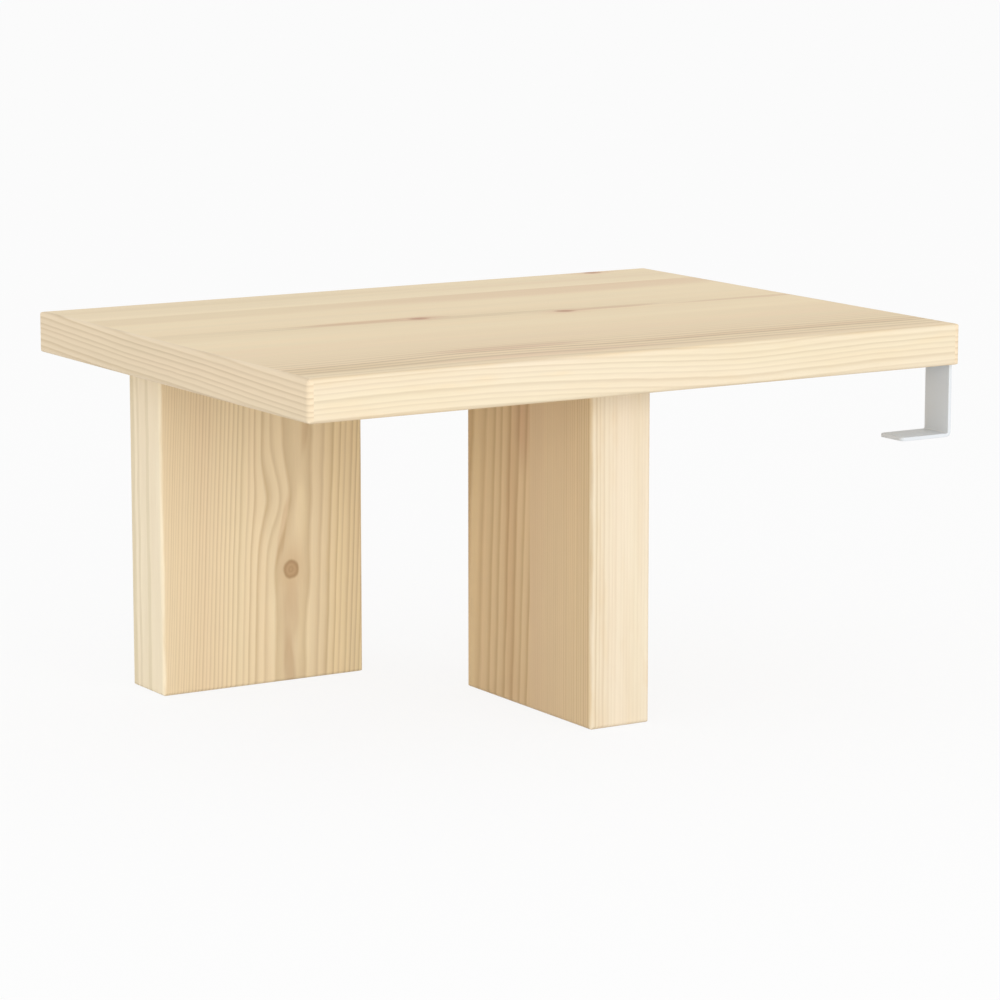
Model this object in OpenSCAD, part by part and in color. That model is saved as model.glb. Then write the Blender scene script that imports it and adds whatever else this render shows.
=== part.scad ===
// Low pine nightstand that stands on two panel legs and hooks round a bed's side rail.
// The origin is at floor level, in the middle of the top's outline.
// +X points to the hook end and -Y to the front.

/* [Tabletop] */
// Length of the top, from the free end to the hook end
top_l = 500; // [440:5:640]
// Depth of the top, front to back
top_d = 383; // [340:1:460]
// Thickness of the top
top_t = 28; // [24:1:40]
// Radius of the sanded edges of the top
top_edge_r = 3; // [1:0.5:6]
// Width of the rear board
rear_stave_w = 68; // [60:1:80]
// Width of the middle board
middle_stave_w = 197; // [180:1:210]
// Thickness of the pine strip across each end
lipping_t = 4; // [3.5:0.5:12]

/* [Legs] */
// Height of the legs, floor to underside of the top
leg_h = 230; // [180:5:420]
// Width of each leg panel
leg_w = 157; // [150:1:180]
// Thickness of each leg panel
leg_t = 46.5; // [36:0.5:60]
// Radius of the sanded edges of the legs
leg_edge_r = 2.5; // [1:0.5:5]
// From the free end of the top to the left leg
left_leg_end_inset = 43; // [20:1:80]
// From the rear edge of the top to the left leg
left_leg_rear_inset = 50; // [30:1:70]
// From the hook end of the top to the right leg, which is the part that reaches over the bed
right_leg_overhang = 216; // [180:1:240]
// From the front edge of the top to the right leg
right_leg_front_inset = 50; // [30:1:70]
// Width of the right leg's rear board
right_leg_rear_stave_w = 81.5; // [75:0.5:90]

/* [Dowels] */
// Diameter of the wooden dowels
dowel_d = 8; // [6:1:10]
// Length of the dowels
dowel_l = 35; // [30:1:40]
// How far a dowel stands up into the top
dowel_in_top = 15; // [10:1:18]
// Distance between a leg's two dowels
dowel_pitch = 120; // [108:1:130]
// Gap round a dowel, on each side
dowel_gap = 0.1; // [0.05:0.05:0.2]
// Space beyond the end of a dowel, bolt or screw in its hole
end_gap = 0.8; // [0.3:0.1:2]
// Number of flutes round a dowel
dowel_flutes = 12; // [8:1:16]
// Radius of a flute
flute_r = 0.5; // [0.3:0.1:0.7]

/* [Cam fittings] */
// Diameter of a cam lock
cam_d = 15; // [14:0.5:18]
// Height of a cam lock
cam_h = 12.5; // [12:0.5:14]
// From the leg's top to the centre of a cam lock
cam_setback = 34; // [30:1:40]
// Distance between a leg's two cam locks
cam_pitch = 64; // [50:1:80]
// From the leg's hidden face to the connecting bolt's axis
bolt_depth = 8.2; // [8:0.1:9]
// Gap round and under a cam lock
cam_gap = 0.15; // [0.1:0.05:0.3]
// Radius of the hollow inside a cam lock
cam_hollow_r = 5.6; // [5.4:0.1:5.8]
// Diameter of the connecting bolt's shank
bolt_shank_d = 7; // [6:0.5:8]
// Diameter of the connecting bolt's neck
bolt_neck_d = 4; // [3:0.5:4.5]
// Diameter of the connecting bolt's head
bolt_head_d = 6.6; // [6:0.2:7]
// Height of the connecting bolt's head
bolt_head_h = 3.6; // [3:0.1:3.8]
// Diameter over the connecting bolt's thread
bolt_thread_d = 6; // [5:0.5:7]
// Length of the thread that goes into the top
bolt_thread_l = 11; // [9:1:14]
// Gap between the neck and the sides of the cam lock's slot
neck_gap = 0.4; // [0.2:0.1:0.6]

/* [Hooks] */
// Width of the steel strip
strip_w = 26; // [20:1:36]
// Thickness of the steel strip
strip_t = 2.5; // [2:0.25:4]
// Free height between the underside of the top and the lower flange
hook_gap = 47.5; // [30:0.5:80]
// Length of the lower flange, outside
hook_reach = 41; // [30:1:60]
// Length of the upper flange, which is screwed up under the top
mount_l = 85; // [80:1:110]
// Inside radius of the strip's bends
bend_r = 1; // [0.5:0.25:2]
// Radius of the flanges' corners
flange_corner_r = 4; // [1:0.5:8]
// From the front or rear edge of the top to the strip
hook_inset = 8; // [4:1:20]
// Gap round the upper flange in its recess
recess_gap = 0.2; // [0.1:0.1:0.5]
// From the upper flange's tip to the first screw
screw_edge = 11; // [9:1:14]
// Distance between a hook's two screws
screw_pitch = 22; // [18:1:24]

/* [Screws] */
// Diameter over the screw's thread
screw_d = 4; // [3.5:0.5:5]
// Length of a screw, head included
screw_l = 18; // [14:1:20]
// Diameter of the screw's head
screw_head_d = 8; // [7:0.5:9]
// Gap round the screw
screw_gap = 0.05; // [0.05:0.05:0.1]

/* [Hidden] */

pine = "#e8d6b3";
pine_leg = "#dcc398";
beech = "#d2ab7c";
zinc = "#c9c8c2";
steel = "#cfcfcb";

// True round shapes
round_fn = 48;
// A cut runs this far past the face it opens
past = 1;

front_y = -top_d / 2;
rear_y = top_d / 2;
left_x = -top_l / 2;
right_x = top_l / 2;

// Glue joints between the top's boards, rear to front
seam_rear_y = rear_y - rear_stave_w;
seam_front_y = seam_rear_y - middle_stave_w;

// Middle of each leg and the way its wide face is turned. A leg is drawn with its width along X
// and its hidden wide face towards +Y, then turned and moved.
left_leg_place = [left_x + left_leg_end_inset + leg_w / 2, rear_y - left_leg_rear_inset - leg_t / 2];
left_leg_turn = 0;
right_leg_place = [right_x - right_leg_overhang - leg_t / 2, front_y + right_leg_front_inset + leg_w / 2];
right_leg_turn = -90;

dowel_hole_d = dowel_d + 2 * dowel_gap;
dowel_hole_top = dowel_in_top + end_gap;
dowel_hole_leg = dowel_l - dowel_in_top + end_gap;

bolt_hole_d = bolt_thread_d + 2 * screw_gap;

// The connecting bolt's axis and the cam locks' own axes, in a leg's own frame
bolt_y = leg_t / 2 - bolt_depth;
cam_z = leg_h - cam_setback;
cam_hole_d = cam_d + 2 * cam_gap;
cam_hole_depth = cam_h + 2 * cam_gap;
cam_hollow_h = bolt_head_d + 3 * neck_gap;
cam_slot_h = bolt_neck_d + 2 * neck_gap;
// The shoulder of the bolt's head rests inside the hollow's wall
head_shoulder = sqrt(pow(cam_hollow_r, 2) - pow(bolt_head_d / 2, 2)) - neck_gap;
head_cone_h = (bolt_head_d - bolt_neck_d) / 2;

hook_outer_h = hook_gap + 2 * strip_t;
hook_z = leg_h - hook_gap - strip_t;
screw_hole_d = screw_d + 4 * screw_gap;
head_cone = (screw_head_d - screw_d) / 2;

// Corners of one turn of a thread: how deep each lies, as a share of the thread's depth, and how far up
// it lies, as a share of the pitch
thread_corners = [[1, 0], [0, 0.35], [0, 0.5], [1, 0.85]];

// Flat outline of w by h from the origin, with round corners
module round_plate(w, h, r) {
    translate([r, 0])
        square([w - 2 * r, h]);
    translate([0, r])
        square([w, h - 2 * r]);
    for (x = [r, w - r], y = [r, h - r])
        translate([x, y])
            circle(r = r, $fn = round_fn);
}

// Block of l by d by h from the origin, with all its edges rounded
module sanded_block(l, d, h, r) {
    intersection() {
        linear_extrude(h)
            round_plate(l, d, r);
        translate([0, d, 0])
            rotate([90, 0, 0])
                linear_extrude(d)
                    round_plate(l, h, r);
        rotate([90, 0, 90])
            linear_extrude(l)
                round_plate(d, h, r);
    }
}

// The whole top, before it is divided into its boards
module top_form() {
    translate([left_x, front_y, leg_h])
        sanded_block(top_l, top_d, top_t, top_edge_r);
}

// A leg, with its top cut square where it meets the tabletop
module leg_form() {
    intersection() {
        translate([-leg_w / 2, -leg_t / 2, 0])
            sanded_block(leg_w, leg_t, leg_h + 2 * leg_edge_r, leg_edge_r);
        translate([-leg_w, -leg_t, 0])
            cube([2 * leg_w, 2 * leg_t, leg_h]);
    }
}

module at_leg(place, turn) {
    translate([place[0], place[1], 0])
        rotate([0, 0, turn])
            children();
}

// Where each hook's outer face, front edge and lower face lie
module at_hook(y_edge) {
    translate([right_x, y_edge, hook_z])
        children();
}

// Holes that a leg needs in its top and in its hidden face
module leg_bores() {
    for (side = [-1, 1]) {
        translate([side * dowel_pitch / 2, 0, leg_h - dowel_hole_leg])
            cylinder(d = dowel_hole_d, h = dowel_hole_leg + past, $fn = round_fn);
        translate([side * cam_pitch / 2, bolt_y, cam_z])
            cylinder(d = bolt_shank_d + 2 * neck_gap, h = cam_setback + past, $fn = round_fn);
        translate([side * cam_pitch / 2, leg_t / 2 - cam_hole_depth, cam_z])
            rotate([-90, 0, 0])
                cylinder(d = cam_hole_d, h = cam_hole_depth + past, $fn = round_fn);
    }
}

// Holes that a leg's dowels and bolts need in the underside of the top
module top_bores_of_leg() {
    for (side = [-1, 1]) {
        translate([side * dowel_pitch / 2, 0, leg_h - past])
            cylinder(d = dowel_hole_d, h = dowel_hole_top + past, $fn = round_fn);
        translate([side * cam_pitch / 2, bolt_y, leg_h - past])
            cylinder(d = bolt_hole_d, h = bolt_thread_l + end_gap + past, $fn = round_fn);
    }
}

// Recess for a hook's upper flange and pilot holes for its screws
module top_recess_of_hook() {
    translate([-mount_l - recess_gap, -recess_gap, hook_gap + strip_t - past])
        linear_extrude(strip_t + past)
            recess_outline();
    for (x = screw_places())
        translate([x, strip_w / 2, hook_gap + strip_t])
            cylinder(d = screw_d + 2 * screw_gap, h = screw_l + end_gap, $fn = round_fn);
}

// The recess is open where it runs out of the top's end
module recess_outline() {
    w = mount_l + recess_gap + past;
    h = strip_w + 2 * recess_gap;
    r = flange_corner_r + recess_gap;
    translate([r, 0])
        square([w - r, h]);
    translate([0, r])
        square([w, h - 2 * r]);
    for (y = [r, h - r])
        translate([r, y])
            circle(r = r, $fn = round_fn);
}

function screw_places() = [for (i = [0, 1]) -mount_l + screw_edge + i * screw_pitch];

// The underside of the top is cut for everything that it carries
module top_cuts() {
    at_leg(left_leg_place, left_leg_turn)
        top_bores_of_leg();
    at_leg(right_leg_place, right_leg_turn)
        top_bores_of_leg();
    at_hook(front_y + hook_inset)
        top_recess_of_hook();
    at_hook(rear_y - hook_inset - strip_w)
        top_recess_of_hook();
}

// One board of the top, from y0 forward to y1 towards the rear, between the end strips
module top_board(y0, y1) {
    difference() {
        intersection() {
            top_form();
            translate([left_x + lipping_t, y0, leg_h - past])
                cube([top_l - 2 * lipping_t, y1 - y0, top_t + 2 * past]);
        }
        top_cuts();
    }
}

module top_stave_rear() {
    color(pine)
        top_board(seam_rear_y, rear_y + past);
}

module top_stave_middle() {
    color(pine)
        top_board(seam_front_y, seam_rear_y);
}

module top_stave_front() {
    color(pine)
        top_board(front_y - past, seam_front_y);
}

// A pine strip across one end of the top
module end_lipping(x0) {
    difference() {
        intersection() {
            top_form();
            translate([x0, front_y - past, leg_h - past])
                cube([lipping_t, top_d + 2 * past, top_t + 2 * past]);
        }
        top_cuts();
    }
}

module end_lipping_left() {
    color(pine)
        end_lipping(left_x);
}

module end_lipping_right() {
    color(pine)
        end_lipping(right_x - lipping_t);
}

module left_leg_board() {
    color(pine_leg)
        at_leg(left_leg_place, left_leg_turn)
            difference() {
                leg_form();
                leg_bores();
            }
}

// One board of the right leg, x0 to x1 in the leg's own frame
module right_leg_board(x0, x1) {
    at_leg(right_leg_place, right_leg_turn)
        difference() {
            intersection() {
                leg_form();
                translate([x0, -leg_t, -past])
                    cube([x1 - x0, 2 * leg_t, leg_h + 2 * past]);
            }
            leg_bores();
        }
}

module right_leg_stave_rear() {
    color(pine_leg)
        right_leg_board(-leg_w / 2 - past, -leg_w / 2 + right_leg_rear_stave_w);
}

module right_leg_stave_front() {
    color(pine_leg)
        right_leg_board(-leg_w / 2 + right_leg_rear_stave_w, leg_w / 2 + past);
}

// Fluted dowel with chamfered ends, standing on the origin
module dowel() {
    chamfer = 1;
    difference() {
        union() {
            translate([0, 0, chamfer])
                cylinder(d = dowel_d, h = dowel_l - 2 * chamfer, $fn = round_fn);
            cylinder(d1 = dowel_d - 2 * chamfer, d2 = dowel_d, h = chamfer, $fn = round_fn);
            translate([0, 0, dowel_l - chamfer])
                cylinder(d1 = dowel_d, d2 = dowel_d - 2 * chamfer, h = chamfer, $fn = round_fn);
        }
        for (i = [0 : dowel_flutes - 1])
            rotate([0, 0, i * 360 / dowel_flutes])
                translate([dowel_d / 2, 0, -past])
                    cylinder(r = flute_r, h = dowel_l + 2 * past, $fn = 16);
    }
}

module leg_dowels() {
    for (side = [-1, 1])
        translate([side * dowel_pitch / 2, 0, leg_h + dowel_in_top - dowel_l])
            dowel();
}

module left_leg_dowels() {
    color(beech)
        at_leg(left_leg_place, left_leg_turn)
            leg_dowels();
}

module right_leg_dowels() {
    color(beech)
        at_leg(right_leg_place, right_leg_turn)
            leg_dowels();
}

// Outline of a threaded rod from z0 up over length l, as points on its right-hand side
function thread_points(z0, l, d, pitch, depth) = [
    for (i = [0 : floor(l / pitch) - 1], corner = thread_corners)
        [d / 2 - corner[0] * depth, z0 + (i + corner[1]) * pitch]
];

// Connecting bolt along Z: its head is near the origin, and its thread starts at the leg's top
module connecting_bolt() {
    pitch = 2;
    depth = 0.8;
    head_chamfer = 0.5;
    shank_chamfer = 1;
    tip_l = 1;
    tip_r = 0.8;
    head_r = bolt_head_d / 2;
    head_end = head_shoulder - bolt_head_h;
    cone_start = head_shoulder - neck_gap;
    neck_top = cam_d / 2 + neck_gap;
    thread_top = cam_setback + bolt_thread_l;
    rotate_extrude($fn = round_fn)
        polygon(concat(
            [[0, head_end], [head_r - head_chamfer, head_end], [head_r, head_end + head_chamfer],
             [head_r, cone_start], [bolt_neck_d / 2, cone_start + head_cone_h], [bolt_neck_d / 2, neck_top],
             [bolt_shank_d / 2, neck_top + shank_chamfer], [bolt_shank_d / 2, cam_setback]],
            thread_points(cam_setback, bolt_thread_l - tip_l, bolt_thread_d, pitch, depth),
            [[bolt_thread_d / 2 - depth, thread_top - tip_l], [tip_r, thread_top], [0, thread_top]]
        ));
}

module leg_connecting_bolts() {
    for (side = [-1, 1])
        translate([side * cam_pitch / 2, bolt_y, cam_z])
            connecting_bolt();
}

module left_leg_connecting_bolts() {
    color(zinc)
        at_leg(left_leg_place, left_leg_turn)
            leg_connecting_bolts();
}

module right_leg_connecting_bolts() {
    color(zinc)
        at_leg(right_leg_place, right_leg_turn)
            leg_connecting_bolts();
}

// Crossed driver slots, cut down from the origin
module cross_recess(l, w, depth) {
    for (a = [0, 90])
        rotate([0, 0, a])
            translate([-l / 2, -w / 2, -depth])
                cube([l, w, depth + past]);
}

// Cam lock with its axis along Z and its driver face at the top. The bolt's axis crosses it at the height
// of bolt_z, from the side of -Y.
module cam_lock() {
    bolt_z = cam_h + cam_gap - bolt_depth;
    slot_start = -115;
    slot_sweep = 200;
    mouth_turn = slot_start + slot_sweep;
    slot_r = cam_hollow_r - 0.5;
    driver_l = 8;
    driver_w = 1.6;
    driver_depth = 2.4;
    pointer_l = 2;
    pointer_depth = 0.5;
    difference() {
        cylinder(d = cam_d, h = cam_h, $fn = round_fn);
        translate([0, 0, bolt_z - cam_hollow_h / 2])
            cylinder(r = cam_hollow_r, h = cam_hollow_h, $fn = round_fn);
        // The slot that the bolt's neck slides along as the cam lock is turned
        translate([0, 0, bolt_z - cam_slot_h / 2])
            rotate([0, 0, slot_start])
                rotate_extrude(angle = slot_sweep, $fn = round_fn)
                    translate([slot_r, 0])
                        square([cam_d / 2 - slot_r + past, cam_slot_h]);
        // The mouth that lets the bolt's head in
        translate([0, 0, bolt_z])
            rotate([0, 0, mouth_turn])
                rotate([0, 90, 0])
                    cylinder(d = bolt_head_d + 2 * neck_gap, h = cam_d, $fn = round_fn);
        translate([0, 0, cam_h])
            cross_recess(driver_l, driver_w, driver_depth);
        // Pointer that shows which way the mouth is turned
        translate([0, 0, cam_h - pointer_depth])
            rotate([0, 0, mouth_turn])
                translate([cam_d / 2 - pointer_l - pointer_depth, 0, 0])
                    linear_extrude(past)
                        polygon([[0, -pointer_l / 2], [pointer_l, 0], [0, pointer_l / 2]]);
    }
}

module leg_cam_locks() {
    for (side = [-1, 1])
        translate([side * cam_pitch / 2, leg_t / 2 - cam_h - cam_gap, cam_z])
            rotate([-90, 0, 0])
                cam_lock();
}

module left_leg_cam_locks() {
    color(zinc)
        at_leg(left_leg_place, left_leg_turn)
            leg_cam_locks();
}

module right_leg_cam_locks() {
    color(zinc)
        at_leg(right_leg_place, right_leg_turn)
            leg_cam_locks();
}

// Side view of the bent strip: x runs back from the outer face, y up from the lower face
module hook_profile() {
    bend = bend_r + strip_t;
    for (y = [0, hook_outer_h - strip_t]) {
        reach = y == 0 ? hook_reach : mount_l;
        translate([-reach, y])
            square([reach - bend, strip_t]);
    }
    translate([-strip_t, bend])
        square([strip_t, hook_outer_h - 2 * bend]);
    for (y = [bend, hook_outer_h - bend])
        translate([-bend, y])
            intersection() {
                difference() {
                    circle(r = bend, $fn = round_fn);
                    circle(r = bend_r, $fn = round_fn);
                }
                translate([0, y == bend ? -bend : 0])
                    square(bend);
            }
}

// Cuts away what lies outside a flange's two round corners, at its tip
module flange_corners(tip_x, z) {
    r = flange_corner_r;
    // Middle of each corner's arc, and the near side of the block that is cut away there
    for (side = [[r, -past], [strip_w - r, strip_w - r]])
        translate([tip_x, 0, z])
            difference() {
                translate([-past, side[1], -past])
                    cube([r + past, r + past, strip_t + 2 * past]);
                translate([r, side[0], -2 * past])
                    cylinder(r = r, h = strip_t + 4 * past, $fn = round_fn);
            }
}

module countersink() {
    wide = screw_head_d + 2 * screw_gap;
    narrow = screw_d + 2 * screw_gap;
    cylinder(d1 = wide, d2 = narrow, h = head_cone, $fn = round_fn);
}

module hook() {
    top_flange_z = hook_outer_h - strip_t;
    difference() {
        translate([0, strip_w, 0])
            rotate([90, 0, 0])
                linear_extrude(strip_w)
                    hook_profile();
        flange_corners(-hook_reach, 0);
        flange_corners(-mount_l, top_flange_z);
        for (x = screw_places())
            translate([x, strip_w / 2, top_flange_z]) {
                translate([0, 0, -past])
                    cylinder(d = screw_hole_d, h = strip_t + 2 * past, $fn = round_fn);
                countersink();
            }
    }
}

module hook_front() {
    color(steel)
        at_hook(front_y + hook_inset)
            hook();
}

module hook_rear() {
    color(steel)
        at_hook(rear_y - hook_inset - strip_w)
            hook();
}

// Countersunk wood screw that points up, with its head's flat face at the origin
module wood_screw() {
    pitch = 1.6;
    depth = 0.6;
    thread_start = head_cone + 1;
    tip = 2;
    driver_w = 0.9;
    driver_depth = 1.6;
    difference() {
        rotate_extrude($fn = round_fn)
            polygon(concat(
                [[0, 0], [screw_head_d / 2, 0], [screw_d / 2 - depth, head_cone + depth]],
                thread_points(thread_start, screw_l - thread_start - tip, screw_d, pitch, depth),
                [[screw_d / 2 - depth, screw_l - tip], [0, screw_l]]
            ));
        mirror([0, 0, 1])
            cross_recess(screw_head_d / 2, driver_w, driver_depth);
    }
}

module hook_screws() {
    for (x = screw_places())
        translate([x, strip_w / 2, hook_outer_h - strip_t])
            wood_screw();
}

module hook_front_screws() {
    color(zinc)
        at_hook(front_y + hook_inset)
            hook_screws();
}

module hook_rear_screws() {
    color(zinc)
        at_hook(rear_y - hook_inset - strip_w)
            hook_screws();
}

top_stave_rear();
top_stave_middle();
top_stave_front();
end_lipping_left();
end_lipping_right();
left_leg_board();
right_leg_stave_rear();
right_leg_stave_front();
left_leg_dowels();
right_leg_dowels();
left_leg_connecting_bolts();
right_leg_connecting_bolts();
left_leg_cam_locks();
right_leg_cam_locks();
hook_front();
hook_rear();
hook_front_screws();
hook_rear_screws();
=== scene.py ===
import math

import bmesh
import bpy
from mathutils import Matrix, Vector


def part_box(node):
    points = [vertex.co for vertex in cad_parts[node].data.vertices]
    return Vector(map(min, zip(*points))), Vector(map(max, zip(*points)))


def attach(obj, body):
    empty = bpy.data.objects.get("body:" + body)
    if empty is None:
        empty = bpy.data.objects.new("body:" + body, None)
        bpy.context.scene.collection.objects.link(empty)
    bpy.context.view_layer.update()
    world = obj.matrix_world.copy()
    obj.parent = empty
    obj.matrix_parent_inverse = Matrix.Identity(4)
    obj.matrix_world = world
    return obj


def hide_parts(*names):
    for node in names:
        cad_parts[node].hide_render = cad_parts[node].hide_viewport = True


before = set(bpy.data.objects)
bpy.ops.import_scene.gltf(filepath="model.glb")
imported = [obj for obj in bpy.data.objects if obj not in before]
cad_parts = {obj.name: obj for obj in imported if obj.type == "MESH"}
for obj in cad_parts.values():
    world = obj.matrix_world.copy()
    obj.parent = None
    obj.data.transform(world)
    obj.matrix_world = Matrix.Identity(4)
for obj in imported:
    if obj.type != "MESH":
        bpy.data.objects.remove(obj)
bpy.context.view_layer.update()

print("frame loaded:", len(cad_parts), "pieces")
mm = 0.001  # the frame is in metres, the sizes below are in millimetres


# sRGB hex to the linear values that shaders take
def linearColour(hexText):
    parts = [int(hexText[i:i + 2], 16) / 255 for i in (1, 3, 5)]
    return [p / 12.92 if p <= 0.04045 else ((p + 0.055) / 1.055) ** 2.4 for p in parts] + [1.0]


# One node with its settings. An input that is another node's output is linked, any other value is set.
def addNode(tree, kind, inputs=(), output=0, stops=(), **settings):
    made = tree.nodes.new("ShaderNode" + kind)
    for key, value in settings.items():
        setattr(made, key, value)
    for key, value in inputs.items() if isinstance(inputs, dict) else enumerate(inputs):
        if isinstance(value, bpy.types.NodeSocket):
            tree.links.new(value, made.inputs[key])
        else:
            made.inputs[key].default_value = value
    for i, (place, grey) in enumerate(stops):
        stop = made.color_ramp.elements[i] if i < 2 else made.color_ramp.elements.new(place)
        stop.position = place
        stop.color = (grey, grey, grey, 1)
    return made if output is None else made.outputs[output]


def newMaterial(name):
    made = bpy.data.materials.new(name)
    made.use_nodes = True
    return made, made.node_tree, made.node_tree.nodes["Principled BSDF"]


# Gap to a place in a board, and a value that is 1 there and fades over the spread: along, across and
# through, in mm. A turn in degrees tilts the patch on the board's wide face.
def nearPlace(tree, spot, place, spread, turn=0):
    gap = addNode(tree, "VectorMath", [spot, place], operation="SUBTRACT")
    turned = gap
    if turn:
        turned = addNode(tree, "Mapping", {"Vector": gap, "Rotation": (0, 0, math.radians(turn))})
    share = addNode(tree, "VectorMath", [turned, [1 / s for s in spread]], operation="MULTIPLY")
    square = addNode(tree, "VectorMath", [share, share], output="Value", operation="DOT_PRODUCT")
    falling = addNode(tree, "Math", [square, -1], operation="MULTIPLY")
    return gap, addNode(tree, "Math", [falling], operation="EXPONENT")


through = 999  # a spread in mm that runs right through a board

# Clouds that make up the figure of pine: length along and width across the grain in mm, and detail
woodClouds = {
    "wander": (240, 70, 1),  # slow bends of the growth rings
    "ripple": (38, 9, 2),  # small waves along one ring
    "tone": (190, 16, 3),  # bands of paler, browner and pinker wood
    "fibre": (22, 0.6, 2),  # fibres, drawn coarser than they are so that they show
}

# What all the boards share. Sizes are in mm.
pineLook = {
    "seedStep": 977,  # boards are cut this far apart from the same clouds
    "tintSpan": 0.3,  # tone of the cloud where the board has all of its tint
    "markEdge": (0.12, 0.75),  # nearness where a streak or a face of painted light begins, and where it is full
    "uneven": (0.7, 1.3), "unevenSpan": 0.25,  # the depth of a streak or of painted light varies by these shares over this tone
    "ragged": (20, 4, 4),  # how far a streak's edges wander: along, across and through
    "frayed": (4, 4, 0),  # the same for a knot
    "weatherPace": 0.37,  # how soon good and poor years follow each other
    "faintest": 0.6,  # darkness of the faintest ring, where the darkest has 1
    # Darkness across one ring: it grows slowly outwards and ends sooner than it began
    "ring": [(0, 0.35), (0.08, 0), (0.5, 0.2), (0.75, 0.75), (0.87, 1), (1, 0.35)],
    "rim": {"size": (2.4, 1.7), "depth": 0.75},  # warmer wood round a knot, in sizes of the knot
    "knotRings": 4, "bark": (0.7, 0.95),  # bark lies between these shares of a knot's size
    "fibreLight": 0.09, "bandLight": 0.1, "bandHue": 0.02,
    "relief": 0.03, "fibreRelief": 0.8,  # sanding leaves late wood and fibres proud
    "roughness": 0.6, "fibreRoughness": 0.12, "lacquerIor": 1.45,
}


# Place in a board, in mm from its corner: along, across and through it
def boardSpot(tree, board):
    here = addNode(tree, "TexCoord", output="Object")
    fromCorner = addNode(tree, "VectorMath", [here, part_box(board["node"])[0]], operation="SUBTRACT")
    inMm = addNode(tree, "VectorMath", {0: fromCorner, "Scale": 1 / mm}, operation="SCALE")
    split = addNode(tree, "SeparateXYZ", [inMm], output=None).outputs
    return addNode(tree, "CombineXYZ", [split["XYZ".index(axis)] for axis in board["axes"]])


# The clouds as they lie in one board, each with values round 0
def boardClouds(tree, board, spot):
    step = (board["seed"] * pineLook["seedStep"], 0, 0)
    apart = addNode(tree, "VectorMath", [spot, step], operation="ADD")
    clouds = {}
    for name, (along, across, detail) in woodClouds.items():
        stretch = (1 / along, 1 / across, 1 / across)
        drawn = addNode(tree, "VectorMath", [apart, stretch], operation="MULTIPLY")
        cloud = addNode(tree, "TexNoise", {"Vector": drawn, "Scale": 1, "Detail": detail}, output="Color")
        clouds[name] = addNode(tree, "VectorMath", [cloud, (0.5, 0.5, 0.5)], operation="SUBTRACT")
    return clouds


# The place as the rings meet it: they wander, swell where a branch once was and flow round the knots
def bentSpot(tree, board, spot, clouds):
    sway = (0, board["wander"], board["wander"])
    bent = addNode(tree, "VectorMath", [clouds["wander"], sway, spot], operation="MULTIPLY_ADD")
    for swell in board["swells"]:
        near = nearPlace(tree, spot, swell["at"], swell["spread"])[1]
        push = addNode(tree, "VectorMath", {0: (0, *swell["push"]), "Scale": near}, operation="SCALE")
        bent = addNode(tree, "VectorMath", [bent, push], operation="SUBTRACT")
    for knot in board["knots"]:
        spread = (knot["size"][0] * knot["flow"][0], knot["size"][1] * knot["flow"][1], through)
        gap, near = nearPlace(tree, spot, knot["at"], spread)
        aside = addNode(tree, "VectorMath", [gap, (0, 1, 0)], operation="MULTIPLY")
        push = addNode(tree, "VectorMath", {0: aside, "Scale": near}, operation="SCALE")
        bent = addNode(tree, "VectorMath", [bent, push], operation="SUBTRACT")
    return bent


# How dark the growth rings are at a place, from 0 in early wood to 1 in the darkest late wood
def growthRings(tree, board, bent, clouds):
    toPith = addNode(tree, "Mapping", {
        "Vector": bent, "Location": (0, -board["pith"][0], -board["pith"][1]),
        "Rotation": (0, 0, math.radians(board["lean"]))})
    crossGrain = addNode(tree, "VectorMath", [toPith, (0, 1, 1)], operation="MULTIPLY")
    radius = addNode(tree, "VectorMath", [crossGrain], output="Value", operation="LENGTH")
    steps = addNode(tree, "Math", [radius, board["ringScale"]], operation="DIVIDE")
    years = addNode(tree, "Math", [steps, board["ringPower"]], operation="POWER")

    # Good and poor years make wide and narrow rings
    pace = pineLook["weatherPace"]
    slow = addNode(tree, "Math", [years, pace, board["seed"]], operation="MULTIPLY_ADD")
    weather = addNode(tree, "TexNoise", {"W": slow, "Scale": 1, "Detail": 1}, noise_dimensions="1D")
    years = addNode(tree, "Math", [weather, board["weather"], years], operation="MULTIPLY_ADD")
    wave = addNode(tree, "SeparateXYZ", [clouds["ripple"]])
    years = addNode(tree, "Math", [wave, board["ripple"], years], operation="MULTIPLY_ADD")

    inRing = addNode(tree, "Math", [years], operation="FRACT")
    lateWood = addNode(tree, "ValToRGB", [inRing], stops=pineLook["ring"])
    whichRing = addNode(tree, "Math", [years], operation="FLOOR")
    luck = addNode(tree, "TexWhiteNoise", {"W": whichRing}, output="Value", noise_dimensions="1D")
    depth = addNode(tree, "MapRange", {"Value": luck, "To Min": pineLook["faintest"], "To Max": 1.0})
    return addNode(tree, "Math", [lateWood, depth], operation="MULTIPLY")
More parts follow.
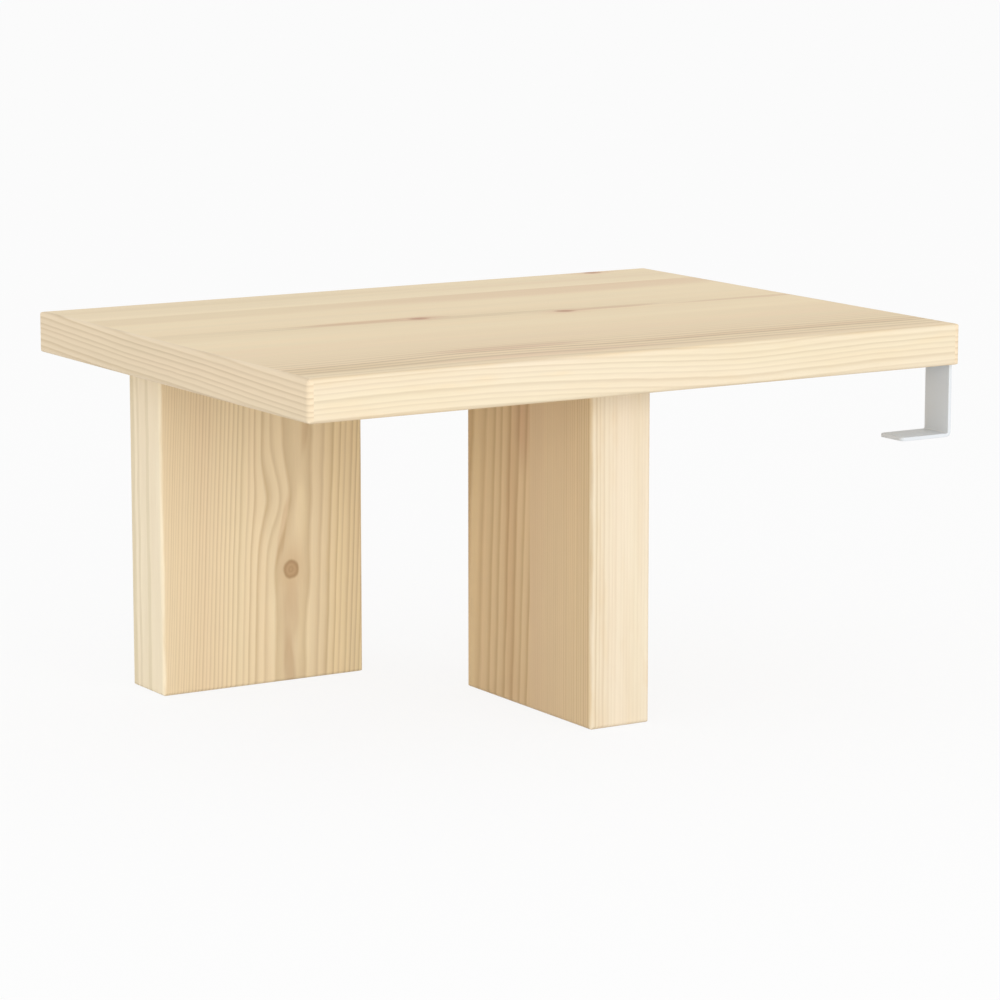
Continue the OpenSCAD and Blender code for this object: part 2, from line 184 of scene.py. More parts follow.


# Wood without its rings: browner and paler streaks run along the grain with uneven edges. The same marks
# also paint light: a whole front face made paler and greyer, as it looks where light falls on it fullest.
def streakedWoodAndLitFaces(tree, board, ragged, tones):
    span = pineLook["tintSpan"]
    grown = addNode(tree, "MapRange", {"Value": tones[1], "From Min": -span, "From Max": span})
    colour = addNode(tree, "MixRGB", [grown, linearColour(board["pale"]), linearColour(board["tint"])])
    outer, inner = pineLook["markEdge"]
    faint, strong = pineLook["uneven"]
    for mark in board["streaksAndLitFaces"]:
        near = nearPlace(tree, ragged, mark["at"], mark["spread"], mark.get("turn", 0))[1]
        body = addNode(tree, "MapRange", {"Value": near, "From Min": outer, "From Max": inner},
                       interpolation_type="SMOOTHSTEP")
        uneven = addNode(tree, "MapRange", {
            "Value": tones[0], "From Min": -pineLook["unevenSpan"], "From Max": pineLook["unevenSpan"],
            "To Min": faint * mark["depth"], "To Max": strong * mark["depth"]})
        cover = addNode(tree, "Math", [body, uneven], operation="MULTIPLY")
        colour = addNode(tree, "MixRGB", [cover, colour, linearColour(mark["colour"])])
    rimLength, rimWidth = pineLook["rim"]["size"]
    for knot in board["knots"]:
        rimSpread = (knot["size"][0] * rimLength, knot["size"][1] * rimWidth, through)
        near = nearPlace(tree, ragged, knot["at"], rimSpread)[1]
        rim = addNode(tree, "Math", [near, pineLook["rim"]["depth"]], operation="MULTIPLY")
        colour = addNode(tree, "MixRGB", [rim, colour, linearColour(knot["rim"])])
    return colour


# Late wood darkens whatever it crosses by the same share, more in some parts of a board than in others
def ringedWood(tree, board, bent, lateness, colour):
    strength = board["contrast"]
    for patch in board["vivid"]:
        near = nearPlace(tree, bent, patch["at"], patch["spread"])[1]
        strength = addNode(tree, "Math", [near, patch["lift"], strength], operation="MULTIPLY_ADD")
    cover = addNode(tree, "Math", [lateness, strength], operation="MULTIPLY", use_clamp=True)
    both = zip(linearColour(board["late"]), linearColour(board["pale"]))
    lines = addNode(tree, "MixRGB", [cover, (1, 1, 1, 1), [late / pale for late, pale in both]])
    return addNode(tree, "MixRGB", [1, colour, lines], blend_type="MULTIPLY")


# A knot is a cut branch: its own faint rings and a browner bark line, blurred into the wood round it
def knottedWood(tree, board, spot, clouds, colour):
    barkStart, barkEnd = pineLook["bark"]
    for knot in board["knots"]:
        gap = addNode(tree, "VectorMath", [spot, knot["at"]], operation="SUBTRACT")
        frayed = addNode(tree, "VectorMath", [clouds["ripple"], pineLook["frayed"], gap],
                         operation="MULTIPLY_ADD")
        turn = (0, 0, math.radians(knot["turn"]))
        turned = addNode(tree, "Mapping", {"Vector": frayed, "Rotation": turn})
        shrink = (1 / knot["size"][0], 1 / knot["size"][1], 0)
        share = addNode(tree, "VectorMath", [turned, shrink], operation="MULTIPLY")
        out = addNode(tree, "VectorMath", [share], output="Value", operation="LENGTH")
        rings = addNode(tree, "Math", [out, pineLook["knotRings"]], operation="MULTIPLY")
        rings = addNode(tree, "Math", [rings, 1], operation="PINGPONG")
        heart = addNode(tree, "MixRGB", [rings, linearColour(knot["heart"]), linearColour(knot["ring"])])
        bark = addNode(tree, "MapRange", {
            "Value": out, "From Min": barkStart, "From Max": barkEnd, "To Max": knot["barkDepth"]})
        heart = addNode(tree, "MixRGB", [bark, heart, linearColour(knot["bark"])])
        near, far = knot["soft"]
        inside = addNode(tree, "MapRange", {
            "Value": out, "From Min": near, "From Max": far, "To Min": 1, "To Max": 0},
            interpolation_type="SMOOTHSTEP")
        colour = addNode(tree, "MixRGB", [inside, colour, heart])
    return colour


# Planed and sanded solid pine under clear matt lacquer. Rings round the board's own pith give pale early
# wood and honey-coloured late wood lines, which agree on its faces, edges and ends.
def solidPine(board):
    pine, tree, shader = newMaterial(board["node"] + "_pine")
    spot = boardSpot(tree, board)
    clouds = boardClouds(tree, board, spot)
    ragged = addNode(tree, "VectorMath", [clouds["ripple"], pineLook["ragged"], spot],
                     operation="MULTIPLY_ADD")
    tones = addNode(tree, "SeparateXYZ", [clouds["tone"]], output=None).outputs
    bent = bentSpot(tree, board, spot, clouds)
    lateness = growthRings(tree, board, bent, clouds)

    colour = streakedWoodAndLitFaces(tree, board, ragged, tones)
    colour = ringedWood(tree, board, bent, lateness, colour)
    colour = knottedWood(tree, board, spot, clouds, colour)
    fibre = addNode(tree, "SeparateXYZ", [clouds["fibre"]])
    light = addNode(tree, "Math", [fibre, pineLook["fibreLight"], 1], operation="MULTIPLY_ADD")
    light = addNode(tree, "Math", [tones[0], pineLook["bandLight"], light], operation="MULTIPLY_ADD")
    hue = addNode(tree, "Math", [tones[1], pineLook["bandHue"], 0.5], operation="MULTIPLY_ADD")
    colour = addNode(tree, "HueSaturation", {"Color": colour, "Value": light, "Hue": hue})
    tree.links.new(colour, shader.inputs["Base Color"])

    relief = addNode(tree, "Math", [fibre, pineLook["fibreRelief"], lateness], operation="MULTIPLY_ADD")
    bump = addNode(tree, "Bump", {"Height": relief, "Strength": 0.5, "Distance": pineLook["relief"] * mm})
    tree.links.new(bump, shader.inputs["Normal"])
    rough = addNode(tree, "Math", [fibre, pineLook["fibreRoughness"], pineLook["roughness"]],
                    operation="MULTIPLY_ADD")
    tree.links.new(rough, shader.inputs["Roughness"])
    shader.inputs["IOR"].default_value = pineLook["lacquerIor"]
    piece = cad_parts[board["node"]]
    piece.data.materials.clear()
    piece.data.materials.append(pine)


# Places are in mm from a board's corner nearest the floor, front and left: along, across and through the
# board, as its axes say. The pith is given across and through it and the lean of the grain in degrees.
# ringScale is the ring width, or the scale of widths that shrink outwards where ringPower is over 1.
# Swells push the rings across and through, and a vivid patch makes their lines stronger or fainter. Each
# board's colours are its own, as they are in a real panel.
topKnot = {
    "rim": "#dbb998", "heart": "#bf9679", "ring": "#b68c6e", "bark": "#ab8163",
    "barkDepth": 0.35, "soft": (0.45, 1.4),
}
legKnot = {
    "rim": "#d2b68e", "heart": "#be9f7a", "ring": "#b4966f", "bark": "#9c7d57",
    "barkDepth": 0.6, "soft": (0.8, 1.2),
}

rearBoard = {
    "node": "top_stave_rear", "axes": "XYZ", "seed": 1,
    "pale": "#e9d6b1", "tint": "#e6d3b1", "late": "#d6c09c", "contrast": 0.6,
    "pith": (150, -70), "lean": 0.3, "ringScale": 2.9, "ringPower": 1,
    "weather": 1.2, "wander": 5, "ripple": 0.3,
    "swells": [], "vivid": [],
    "streaksAndLitFaces": [
        {"at": (250, 8, 28), "spread": (900, 8, 60), "depth": 0.5, "colour": "#eddbb8"},
        {"at": (130, 44, 28), "spread": (160, 9, 60), "depth": 0.5, "colour": "#dfcba6"},
        {"at": (380, 30, 28), "spread": (120, 7, 60), "depth": 0.4, "colour": "#e3cba9"},
    ],
    "knots": [{"at": (444, 61, 14), "size": (7, 5), "turn": 0, "flow": (3, 1.6), **topKnot}],
}
middleBoard = {
    "node": "top_stave_middle", "axes": "XYZ", "seed": 2,
    "pale": "#e8d4ad", "tint": "#e7d3b1", "late": "#c8af88", "contrast": 0.12,
    "pith": (96, 24), "lean": 2.6, "ringScale": 3.2, "ringPower": 1,
    "weather": 1.2, "wander": 7, "ripple": 0.7,
    "swells": [{"at": (330, 80, 14), "spread": (80, 60, through), "push": (-6, 0)}],
    "vivid": [
        {"at": (60, 96, 28), "spread": (150, 12, through), "lift": 0.88},
        {"at": (300, 88, 28), "spread": (150, 22, through), "lift": 0.55},
    ],
    "streaksAndLitFaces": [
        {"at": (160, 96, 28), "spread": (58, 7, 40), "depth": 0.65, "colour": "#d5b28d"},
        {"at": (245, 88, 28), "spread": (60, 6, 40), "depth": 0.45, "colour": "#d6bf99"},
        {"at": (345, 79, 28), "spread": (40, 5, 40), "depth": 0.75, "colour": "#d4b491"},
        {"at": (470, 75, 28), "spread": (80, 4.5, 40), "depth": 0.6, "colour": "#d6b895"},
        {"at": (80, 184, 28), "spread": (200, 19, 60), "depth": 0.5, "colour": "#dbc5a0"},
        {"at": (370, 184, 28), "spread": (190, 22, 60), "depth": 0.6, "colour": "#dabc9a"},
        {"at": (250, 2, 28), "spread": (900, 24, 60), "depth": 0.55, "colour": "#e3cca8"},
    ],
    "knots": [
        {"at": (199, 95, 14), "size": (7.5, 5), "turn": 0, "flow": (3, 1.6), **topKnot},
        {"at": (306, 78, 14), "size": (7.5, 5), "turn": 0, "flow": (3, 1.6), **topKnot},
    ],
}
frontBoard = {
    "node": "top_stave_front", "axes": "XYZ", "seed": 3,
    "pale": "#e5d0ab", "tint": "#e4cfae", "late": "#ad9068", "contrast": 0.31,
    "pith": (-70, -220), "lean": 0.6, "ringScale": 3.85, "ringPower": 1,
    "weather": 0.8, "wander": 3, "ripple": 0.3,
    "swells": [
        {"at": (150, 42, 14), "spread": (80, 45, through), "push": (13, 0)},
        {"at": (50, 0, 14), "spread": (130, 10, through), "push": (0, 4)},
        {"at": (320, 0, 14), "spread": (80, 10, through), "push": (0, -4)},
    ],
    "vivid": [
        {"at": (250, 33, 28), "spread": (900, 22, 12), "lift": 0.5},
        {"at": (250, 100, 28), "spread": (900, 36, through), "lift": -0.31},
    ],
    "streaksAndLitFaces": [
        {"at": (250, 112, 28), "spread": (900, 18, 60), "depth": 0.5, "colour": "#e3cca8"},
        {"at": (250, 80, 28), "spread": (900, 24, 40), "depth": 0.5, "colour": "#dfc9a5"},
        {"at": (250, 42, 28), "spread": (900, 24, 26), "depth": 0.2, "colour": "#dac49f"},
        {"at": (176, 60, 28), "spread": (62, 10, 20), "depth": 0.5, "colour": "#d4b394"},
        {"at": (190, 24, 28), "spread": (90, 9, 14), "depth": 0.45, "colour": "#dcbb9c"},
        {"at": (380, 42, 28), "spread": (150, 7, 14), "depth": 0.4, "colour": "#d3b892"},
        {"at": (30, 30, 28), "spread": (90, 12, 14), "depth": 0.4, "colour": "#d0b88f"},
        # Painted light: the whole front face is painted greyer and less yellow than the board, as it
        # looks where light falls on it fullest
        {"at": (250, -1.5, 14), "spread": (900, 3, 60), "depth": 0.9, "colour": "#e2d4b9"},
    ],
    "knots": [],
}
endStrips = [{
    "node": node, "axes": "YZX", "seed": seed,
    "pale": "#e9d6b6", "tint": "#e6d2b5", "late": "#cfba97", "contrast": 0.95,
    "pith": (-130, 2), "lean": -1.7, "ringScale": 3.9, "ringPower": 1,
    "weather": 0.7, "wander": 4, "ripple": 0.3,
    "swells": [], "vivid": [], "streaksAndLitFaces": [], "knots": [],
} for node, seed in (("end_lipping_left", 4), ("end_lipping_right", 5))]
leftLeg = {
    "node": "left_leg_board", "axes": "ZXY", "seed": 6,
    "pale": "#ecdab6", "tint": "#e8d5b4", "late": "#cdb68f", "contrast": 0.9,
    "pith": (99, 8), "lean": -2.3, "ringScale": 18, "ringPower": 1.93,
    "weather": 0.6, "wander": 3, "ripple": 0.25,
    "swells": [{"at": (129, 92, 0), "spread": (26, 16, 60), "push": (9, 0)}],
    "vivid": [
        {"at": (115, 10, 0), "spread": (900, 32, 30), "lift": -0.22},
        {"at": (115, 0, 23), "spread": (900, 5, 60), "lift": -0.75},
    ],
    "streaksAndLitFaces": [
        {"at": (115, 12, 0), "spread": (900, 34, 30), "depth": 0.5, "colour": "#dfc9a6"},
        {"at": (115, 152, 0), "spread": (900, 26, 30), "depth": 0.6, "colour": "#f1dbb2"},
        {"at": (209, 114, 0), "spread": (26, 4.4, 30), "depth": 0.55, "colour": "#cfb08b"},
        {"at": (180, 112, 0), "spread": (20, 3.2, 30), "turn": -6, "depth": 0.4, "colour": "#d3b691"},
        {"at": (118, 108, 0), "spread": (22, 5, 30), "depth": 0.6, "colour": "#f1dfbb"},
        {"at": (108, 94, 0), "spread": (24, 2.6, 30), "turn": -14, "depth": 0.45, "colour": "#cdae87"},
        {"at": (34, 110, 0), "spread": (40, 5, 30), "depth": 0.6, "colour": "#f1dfbb"},
        {"at": (34, 87, 0), "spread": (46, 5, 30), "depth": 0.5, "colour": "#f0dfbc"},
        {"at": (56, 100, 0), "spread": (16, 6, 30), "depth": 0.5, "colour": "#dcc5a2"},
        {"at": (46, 99, 0), "spread": (24, 6.5, 30), "depth": 0.55, "colour": "#d3ba97"},
        {"at": (12, 98, 0), "spread": (26, 4.6, 30), "turn": 4, "depth": 0.8, "colour": "#ceb492"},
        {"at": (115, 0, 23), "spread": (900, 2, 60), "depth": 0.95, "colour": "#f3e4c7"},
        {"at": (115, 0, 42), "spread": (900, 2, 3.4), "depth": 0.75, "colour": "#dfcfae"},
        {"at": (115, 0, 33.5), "spread": (900, 2, 1.8), "depth": 0.6, "colour": "#dfcfae"},
        {"at": (115, 0, 19.5), "spread": (900, 2, 2.4), "depth": 0.65, "colour": "#dfcfae"},
    ],
    "knots": [{"at": (79, 100, 0), "size": (6.8, 5.9), "turn": 20, "flow": (2.8, 1.8), **legKnot}],
}
rightLegRear = {
    "node": "right_leg_stave_rear", "axes": "ZYX", "seed": 7,
    "pale": "#dcc299", "tint": "#d9be98", "late": "#b89a70", "contrast": 0.75,
    "pith": (130, 250), "lean": 2.8, "ringScale": 3.6, "ringPower": 1,
    "weather": 0.8, "wander": 3, "ripple": 0.2,
    "swells": [], "vivid": [], "knots": [],
    "streaksAndLitFaces": [
        {"at": (206, 9, 0), "spread": (40, 13, 60), "depth": 0.55, "colour": "#cba986"},
        {"at": (95, 24, 0), "spread": (110, 8, 60), "depth": 0.5, "colour": "#cdae85"},
        {"at": (115, 71, 0), "spread": (900, 6, 60), "depth": 0.5, "colour": "#e3caa0"},
    ],
}
rightLegFront = {
    "node": "right_leg_stave_front", "axes": "ZYX", "seed": 8,
    "pale": "#dbc39c", "tint": "#dac09d", "late": "#c2a57b", "contrast": 0.22,
    "pith": (-70, -60), "lean": 0, "ringScale": 2.2, "ringPower": 1,
    "weather": 1, "wander": 2, "ripple": 0.3,
    "swells": [], "knots": [],
    "vivid": [{"at": (115, 2, 0), "spread": (400, 34, 13), "lift": 0.66}],
    "streaksAndLitFaces": [
        {"at": (120, 66, 0), "spread": (150, 9, 60), "depth": 0.4, "colour": "#d5b998"},
        {"at": (115, 10, 0), "spread": (900, 22, 30), "depth": 0.5, "colour": "#e1c9a1"},
        # Painted light: the whole front face is painted paler and less yellow than the board, as it looks
        # where light falls on it fullest
        {"at": (115, -1.5, 30), "spread": (900, 3.2, 60), "depth": 0.95, "colour": "#e4d6bd"},
    ],
}
for board in (rearBoard, middleBoard, frontBoard, *endStrips, leftLeg, rightLegRear, rightLegFront):
    solidPine(board)
print("pine boards finished")


# Powder coat, baked on: an even light grey with a faint orange peel that softens its sheen
def powderCoat(look):
    made, tree, shader = newMaterial("grey_powder_coat")
    here = addNode(tree, "TexCoord", output="Object")
    drawn = addNode(tree, "VectorMath", {0: here, "Scale": 1 / (look["peel"] * mm)}, operation="SCALE")
    peel = addNode(tree, "TexNoise", {"Vector": drawn, "Scale": 1, "Detail": 1})
    low, high = look["roughness"]
    rough = addNode(tree, "MapRange", {"Value": peel, "To Min": low, "To Max": high})
    tree.links.new(rough, shader.inputs["Roughness"])
    bump = addNode(tree, "Bump", {"Height": peel, "Strength": 0.4, "Distance": look["peelHeight"] * mm})
    tree.links.new(bump, shader.inputs["Normal"])
    shader.inputs["Base Color"].default_value = linearColour(look["colour"])
    shader.inputs["IOR"].default_value = 1.5
    return made


# Die-cast or turned and then zinc plated: a soft grey that blurs what it mirrors, cloudy from the bath
def zincPlate(look):
    made, tree, shader = newMaterial("zinc_plate")
    here = addNode(tree, "TexCoord", output="Object")
    drawn = addNode(tree, "VectorMath", {0: here, "Scale": 1 / (look["cloud"] * mm)}, operation="SCALE")
    cloud = addNode(tree, "TexNoise", {"Vector": drawn, "Scale": 1, "Detail": 3})
    low, high = look["roughness"]
    rough = addNode(tree, "MapRange", {"Value": cloud, "To Min": low, "To Max": high})
    tree.links.new(rough, shader.inputs["Roughness"])
    colour = addNode(tree, "MixRGB", [cloud, linearColour(look["colour"]), linearColour(look["dull"])])
    tree.links.new(colour, shader.inputs["Base Color"])
    shader.inputs["Metallic"].default_value = 1
    return made


# Turned beech, pressed with flutes: a warm even brown with short dark flecks along the grain
def turnedBeech(look):
    made, tree, shader = newMaterial("turned_beech")
    here = addNode(tree, "TexCoord", output="Object")
    across, along = [1 / (size * mm) for size in look["fleck"]]
    drawn = addNode(tree, "VectorMath", [here, (across, across, along)], operation="MULTIPLY")
    flecks = addNode(tree, "TexNoise", {"Vector": drawn, "Scale": 1, "Detail": 2})
    dark = addNode(tree, "MapRange", {"Value": flecks, "From Min": 0.5, "From Max": 0.75})
    colour = addNode(tree, "MixRGB", [dark, linearColour(look["colour"]), linearColour(look["flecks"])])
    tree.links.new(colour, shader.inputs["Base Color"])
    shader.inputs["Roughness"].default_value = look["roughness"]
    return made


coating = powderCoat({"colour": "#d5d9dc", "roughness": (0.59, 0.71), "peel": 0.7, "peelHeight": 0.02})
zinc = zincPlate({"colour": "#c4c5c2", "dull": "#b0b1ad", "roughness": (0.28, 0.52), "cloud": 1.5})
beech = turnedBeech({"colour": "#d9b58a", "flecks": "#b48a5e", "roughness": 0.6, "fleck": (0.5, 3)})
finishes = {"hook": coating, "dowels": beech, "bolts": zinc, "locks": zinc, "screws": zinc}
for name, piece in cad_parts.items():
    for word, material in finishes.items():  # the last word that a name holds counts
        if word in name:
            piece.data.materials.clear()
            piece.data.materials.append(material)
print("fittings finished")


# Skin over a stack of rings that have the same number of points, closed at both ends
def skinRings(rings):
    form = bmesh.new()
    rows = [[form.verts.new([mm * c for c in point]) for point in ring] for ring in rings]
    for low, high in zip(rows, rows[1:]):
        for i in range(len(low)):
            j = (i + 1) % len(low)
            form.faces.new((low[i], low[j], high[j], high[i]))
    form.faces.new(rows[0])
    form.faces.new(rows[-1])
    bmesh.ops.recalc_face_normals(form, faces=form.faces)
    for face in form.faces:
        face.smooth = True
    mesh = bpy.data.meshes.new("form")
    form.to_mesh(mesh)
    form.free()
    return mesh


# What is left of a mesh once the tools' shapes are cut out of it
def cutAway(mesh, tools):
    block = bpy.data.objects.new("block", mesh)
    cutters = [bpy.data.objects.new("cutter", tool) for tool in tools]
    for thing in (block, *cutters):
        bpy.context.scene.collection.objects.link(thing)
    for cutter in cutters:
        cut = block.modifiers.new("cut", "BOOLEAN")
        cut.object = cutter
        cut.solver = "EXACT"
    bpy.context.view_layer.update()
    depsgraph = bpy.context.evaluated_depsgraph_get()
    finished = bpy.data.meshes.new_from_object(block.evaluated_get(depsgraph))
    for thing in (block, *cutters):
        bpy.data.objects.remove(thing)
    return finished


sharpAngle = 35  # edges that turn more than this many degrees stay crisp


# A finished mesh becomes a piece that stands for a CAD node and rides on the one rigid body
def standsFor(node, mesh, material, place):
    mesh.materials.clear()
    mesh.materials.append(material)
    mesh.set_sharp_from_angle(angle=math.radians(sharpAngle))
    piece = bpy.data.objects.new(node + "_made", mesh)
    bpy.context.scene.collection.objects.link(piece)
    piece.location = [mm * c for c in place]
    even = piece.modifiers.new("even shading", "WEIGHTED_NORMAL")
    even.keep_sharp = True
    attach(piece, "root")
    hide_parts(node)


# Lowest and highest corner of a CAD node, in mm, to a micron, because the frame is in single precision
def cornersOf(node):
    return [[round(c / mm, 3) for c in corner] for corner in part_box(node)]


# Where each hook's outer face has its lower corner, at its front edge
hooks = {}
for node in ("hook_front", "hook_rear"):
    low, high = cornersOf(node)
    hooks[node] = (high[0], low[1], low[2])

# Bent strip, in mm from that corner. Its width, height and longer flange are the CAD node's own, and x
# runs back along the flanges.
strip = {
    "width": high[1] - low[1], "height": high[2] - low[2], "upperFlange": high[0] - low[0],
    "thick": 2.5, "lowerFlange": 41,
    "bend": 1, "bendSteps": range(0, 91, 15),  # radius inside the bend, and degrees round it
    "corner": 4, "cornerSteps": (0, 8, 15, 26, 38, 52, 68, 90),  # the same at the flanges' corners
    "edge": 0.4, "edgeSteps": (0, 30, 60, 90),  # and at the rounded long edges
    "hole": 2.1, "countersink": 4.05, "countersinkDepth": 2, "holesAt": (-74, -52),
}
flangeFace = strip["height"] - strip["thick"]  # underside of the upper flange


# Outline across the strip with rounded edges: across its width and through its thickness, from its middle
def stripOutline(halfWidth, halfThick):
    edge = strip["edge"]
    points = []
    for quarter in range(4):
        sideX = 1 if quarter in (0, 3) else -1
        sideY = 1 if quarter < 2 else -1
        for step in strip["edgeSteps"]:
            angle = math.radians(90 * quarter + step)
            points.append((sideX * (halfWidth - edge) + edge * math.cos(angle),
                           sideY * (halfThick - edge) + edge * math.sin(angle)))
    return points


# One ring of the strip, at a point of its middle line where its outer side faces the angle
def stripRing(x, z, angle, halfWidth, halfThick):
    facing = (math.cos(math.radians(angle)), math.sin(math.radians(angle)))
    return [(x + out * facing[0], strip["width"] / 2 + side, z + out * facing[1])
            for side, out in stripOutline(halfWidth, halfThick)]


def bentStrip():
    half = strip["thick"] / 2
    turnRadius = strip["bend"] + strip["thick"]
    top = strip["height"]
    corner = strip["corner"]
    edge = strip["edge"]
    tip = []
    for angle in strip["cornerSteps"]:  # round the flange's corner, from its end
        run = corner * (1 - math.cos(math.radians(angle)))
        side = strip["width"] / 2 - corner * (1 - math.sin(math.radians(angle)))
        thinner = edge - math.sqrt(edge ** 2 - (edge - run) ** 2) if run < edge else 0
        tip.append((run, side, half - thinner * 0.95))  # just short of flat, so that no faces fold
    rings = [stripRing(-strip["lowerFlange"] + run, half, -90, side, thick) for run, side, thick in tip]
    for centre, start in ((turnRadius, -90), (top - turnRadius, 0)):
        for step in strip["bendSteps"]:
            angle = start + step
            reach = turnRadius - half
            rings.append(stripRing(-turnRadius + reach * math.cos(math.radians(angle)),
                                   centre + reach * math.sin(math.radians(angle)),
                                   angle, strip["width"] / 2, half))
    rings += [stripRing(-strip["upperFlange"] + run, top - half, 90, side, thick)
              for run, side, thick in reversed(tip)]
    return skinRings(rings)


# Ring of a turned form at a height, round a middle line that points up
def turnedRing(x, y, z, radius, sides=32):
    angles = [2 * math.pi * i / sides for i in range(sides)]
    return [(x + radius * math.cos(a), y + radius * math.sin(a), z) for a in angles]


# Countersunk holes for the screws, cut from the face that the screws' heads lie in
def screwHoleTools():
    profile = [(-1, strip["countersink"]), (0, strip["countersink"]),
               (strip["countersinkDepth"], strip["hole"]), (strip["thick"] + 1, strip["hole"])]
    return [skinRings([turnedRing(x, strip["width"] / 2, flangeFace + z, r) for z, r in profile])
            for x in strip["holesAt"]]


for node, place in hooks.items():
    standsFor(node, cutAway(bentStrip(), screwHoleTools()), coating, place)
print("hooks bent")


threadShape = {"flank": 0.3, "root": 0.35}  # a flank's share of a turn, and the root's share of a flank


# A turned rod whose helical thread rises out of its core. Heights and radii are in mm, and the thread
# fades in and out over half a turn at each end.
def threadedRod(form, x, y, sides=32, rowsPerTurn=10):
    thread = form["thread"]
    start, end, pitch = thread["start"], thread["end"], thread["pitch"]
    rows = [(z, r, False) for z, r in form["below"]]
    count = round((end - start) / pitch * rowsPerTurn)
    rows += [(start + (end - start) * i / count, thread["core"], True) for i in range(count + 1)]
    rows += [(z, r, False) for z, r in form["above"]]
    rings = []
    for z, radius, threaded in rows:
        ring = []
        for i in range(sides):
            angle = 2 * math.pi * i / sides
            reach = radius
            if threaded:
                turn = (z / pitch - i / sides) % 1
                climb = (0.5 - abs(turn - 0.5)) / threadShape["flank"] - threadShape["root"]
                crest = min(1, max(0, climb))
                fade = min(1, (z - start) * 2 / pitch, (end - z) * 2 / pitch)
                reach += thread["depth"] * crest * fade
            ring.append((x + reach * math.cos(angle), y + reach * math.sin(angle), z))
        rings.append(ring)
    return rings


# Countersunk wood screw: its head's flat face is down, in the plane of the flange's underside
screw = {
    "below": [(0, 3.85), (0.12, 4), (0.3, 3.82), (2.6, 1.4)],
    "thread": {"start": 3, "end": 15.8, "pitch": 1.6, "core": 1.4, "depth": 0.6},
    "above": [(16, 1.4), (17.2, 0.75), (18, 0.05)],
    "driver": {"length": 4, "width": 0.9, "depth": 1.6, "taper": 0.7},
}


# Crossed recess for a driver, narrower at its bottom
def driverTools(x, y, z):
    driver = screw["driver"]
    tools = []
    for length, width in ((driver["length"], driver["width"]), (driver["width"], driver["length"])):
        rings = []
        for height, share in ((-1, 1), (0, 1), (driver["depth"], driver["taper"])):
            halfX = length / 2 * share
            halfY = width / 2 * share
            rings.append([(x + a * halfX, y + b * halfY, z + height)
                          for a, b in ((1, 1), (-1, 1), (-1, -1), (1, -1))])
        tools.append(skinRings(rings))
    return tools


def joinedMesh(meshes):
    form = bmesh.new()
    for mesh in meshes:
        form.from_mesh(mesh)
    joined = bpy.data.meshes.new("form")
    form.to_mesh(joined)
    form.free()
    return joined


for node, place in hooks.items():
    screws = []
    for x in strip["holesAt"]:
        turned = skinRings([[(px, py, pz + flangeFace) for px, py, pz in ring]
                            for ring in threadedRod(screw, x, strip["width"] / 2)])
        screws.append(cutAway(turned, driverTools(x, strip["width"] / 2, flangeFace)))
    standsFor(node + "_screws", joinedMesh(screws), zinc, place)
print("screws made")

# Connecting bolt, from the middle of the cam lock that its head sits in up into the top
bolt = {
    "below": [(0.52, 2.8), (0.67, 3.15), (1.02, 3.3), (3.6, 3.3), (3.75, 3.2), (5.02, 2), (7.9, 2),
              (8.6, 3.2), (8.9, 3.5), (33.8, 3.5), (34, 3.3)],
    "thread": {"start": 34.1, "end": 44, "pitch": 2, "core": 2.2, "depth": 0.8},
    "above": [(44.2, 2), (45, 0.8)],
    "shank": 3.5, "tip": 45,
}


# A leg's two bolts stand at the ends of their node's box, in a row along x or y
def boltSpots(low, high):
    row = 0 if high[0] - low[0] > high[1] - low[1] else 1
    spots = []
    for end in (low[row] + bolt["shank"], high[row] - bolt["shank"]):
        spot = [(low[0] + high[0]) / 2, (low[1] + high[1]) / 2]
        spot[row] = end
        spots.append(spot)
    return spots


for node in ("left_leg_connecting_bolts", "right_leg_connecting_bolts"):
    low, high = cornersOf(node)
    bolts = joinedMesh([skinRings(threadedRod(bolt, x, y)) for x, y in boltSpots(low, high)])
    standsFor(node, bolts, zinc, (0, 0, high[2] - bolt["tip"]))
print("bolts made")

# Studio: a pale floor that keeps the object's shadow, and a white background
studio = {
    "floorSize": 40, "floorGrey": "#e8e8e8", "floorDrop": 0.05,  # m, and mm under the feet
    "whiteShare": 0.87, "worldStrength": 0.9, "aim": (0, 0, 0.15),
    "lamps": {
        "front": {"at": (0.9, -3.2, 0.8), "size": 1.6, "power": 26},
        "left": {"at": (-1.8, -2.8, 0.9), "size": 1.6, "power": 22},
        "side": {"at": (-3.3, -0.6, 0.7), "size": 1.6, "power": 6},
    },
}


# 1 for what the camera sees, also in a mirror or through glass, and 0 for light that falls on things
def plainlySeen(tree):
    ray = addNode(tree, "LightPath", output=None).outputs
    seen = addNode(tree, "Math", [ray["Is Camera Ray"], ray["Is Glossy Ray"]], operation="MAXIMUM")
    return addNode(tree, "Math", [seen, ray["Is Transmission Ray"]], operation="MAXIMUM")


def makeWorld():
    world = bpy.data.worlds.new("studio")
    bpy.context.scene.world = world
    world.use_nodes = True
    tree = world.node_tree
    tree.nodes.clear()
    seen = plainlySeen(tree)
    strength = addNode(tree, "MapRange", {"Value": seen, "To Min": studio["worldStrength"], "To Max": 1})
    sky = addNode(tree, "Background", {"Color": (1, 1, 1, 1), "Strength": strength})
    addNode(tree, "OutputWorld", {"Surface": sky}, output=None)


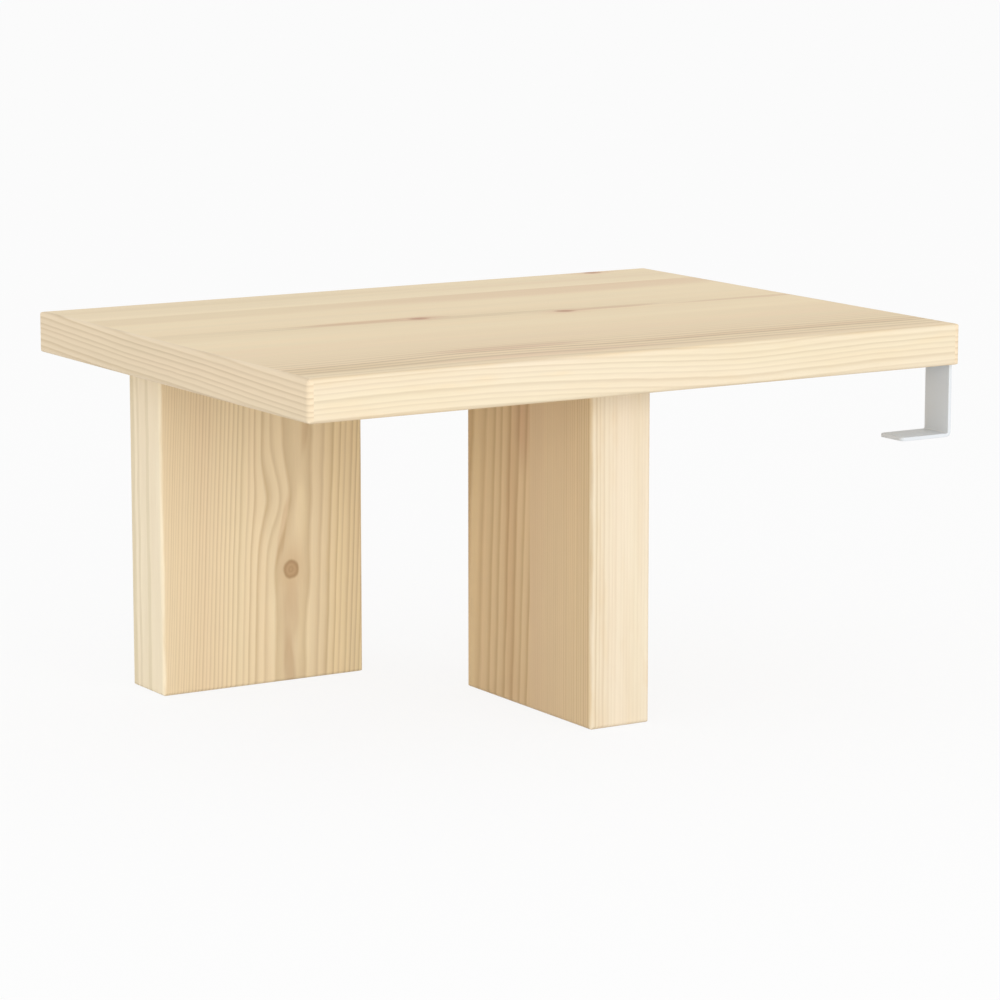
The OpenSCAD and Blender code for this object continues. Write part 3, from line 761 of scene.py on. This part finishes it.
# Matt paper without a sheen: the eye gets only the object's shadow on white
def makeFloor():
    half = studio["floorSize"] / 2
    drop = -studio["floorDrop"] * mm
    corners = [(x, y, drop) for x, y in ((-half, -half), (half, -half), (half, half), (-half, half))]
    mesh = bpy.data.meshes.new("studio_floor")
    mesh.from_pydata(corners, [], [(0, 1, 2, 3)])
    floor = bpy.data.objects.new("studio_floor", mesh)
    bpy.context.scene.collection.objects.link(floor)
    paper, tree, shader = newMaterial("studio_paper")
    tree.nodes.remove(shader)
    share = addNode(tree, "Math", [plainlySeen(tree), studio["whiteShare"]], operation="MULTIPLY")
    matt = addNode(tree, "BsdfDiffuse", {"Color": linearColour(studio["floorGrey"])})
    white = addNode(tree, "Emission", {"Color": (1, 1, 1, 1), "Strength": 1})
    both = addNode(tree, "MixShader", [share, matt, white])
    below = addNode(tree, "NewGeometry", output="Backfacing")
    clear = addNode(tree, "BsdfTransparent")
    both = addNode(tree, "MixShader", [below, both, clear])  # from below, the paper is clear
    tree.links.new(both, tree.nodes["Material Output"].inputs["Surface"])
    mesh.materials.append(paper)


def makeLamps():
    for name, lamp in studio["lamps"].items():
        data = bpy.data.lights.new(name, "AREA")
        data.shape = "SQUARE"
        data.size = lamp["size"]
        data.energy = lamp["power"]
        thing = bpy.data.objects.new(name, data)
        thing.location = lamp["at"]
        towards = Vector(studio["aim"]) - Vector(lamp["at"])
        thing.rotation_euler = towards.to_track_quat("-Z", "Y").to_euler()
        bpy.context.scene.collection.objects.link(thing)


makeWorld()
makeFloor()
makeLamps()
print("studio lit")

# The photograph's viewing angle, from the edges and corners of the top and legs
view = {"lens": 141.13, "yaw": 31.616, "pitch": 10.007, "at": (-1.3837, -2.2554, 0.5989), "farthest": 100}
cameraData = bpy.data.cameras.new("camera")
cameraData.lens = view["lens"]
cameraData.clip_end = view["farthest"]
camera = bpy.data.objects.new("camera", cameraData)
camera.location = view["at"]
camera.rotation_euler = (math.radians(90 - view["pitch"]), 0, math.radians(-view["yaw"]))
bpy.context.scene.collection.objects.link(camera)
bpy.context.scene.camera = camera
bpy.context.scene.view_settings.view_transform = "Standard"
